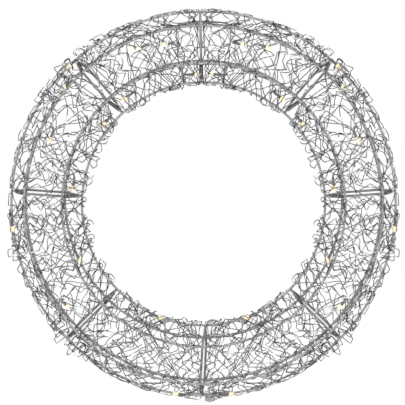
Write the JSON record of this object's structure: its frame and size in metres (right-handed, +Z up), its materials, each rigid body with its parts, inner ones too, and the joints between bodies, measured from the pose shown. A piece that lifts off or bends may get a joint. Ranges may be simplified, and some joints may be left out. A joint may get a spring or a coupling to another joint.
{
  "type": "wreath frame",
  "caption": "Round wire wreath frame: hoops welded to bent ribs, wound with crinkled wire and lit by a string of small warm white lamps.",
  "frame": {"origin": "centre of the ring, midway between its front and back hoops", "axes": "+X to the right and +Z up as seen from the front, which faces -Y; +Y points to the wall or door behind"},
  "size_m": [0.3974, 0.074, 0.402],
  "materials": {
    "hoop_wire": "dull galvanised",
    "crinkle_wire": "bright drawn",
    "lamp": "clear warm white, lit",
    "phosphor": "matte",
    "grey_plastic": "matte"
  },
  "bodies": {
    "root": {"outer_hoop": "hoop_wire", "front_outer_hoop": "hoop_wire", "front_inner_hoop": "hoop_wire", "inner_hoop": "hoop_wire", "back_inner_hoop": "hoop_wire", "back_outer_hoop": "hoop_wire", "rib_1": "hoop_wire", "rib_2": "hoop_wire", "rib_3": "hoop_wire", "rib_4": "hoop_wire", "rib_5": "hoop_wire", "rib_6": "hoop_wire", "rib_7": "hoop_wire", "rib_8": "hoop_wire", "crinkle_wire_1": "crinkle_wire", "crinkle_wire_2": "crinkle_wire", "crinkle_wire_3": "crinkle_wire", "crinkle_wire_4": "crinkle_wire", "crinkle_wire_5": "crinkle_wire", "crinkle_wire_6": "crinkle_wire", "crinkle_wire_7": "crinkle_wire", "crinkle_wire_8": "crinkle_wire", "led_bulbs": "lamp", "led_chips": "phosphor", "led_necks": "grey_plastic", "string_cable": "grey_plastic", "lead_sleeve": "grey_plastic"}
  },
  "joints": []
}
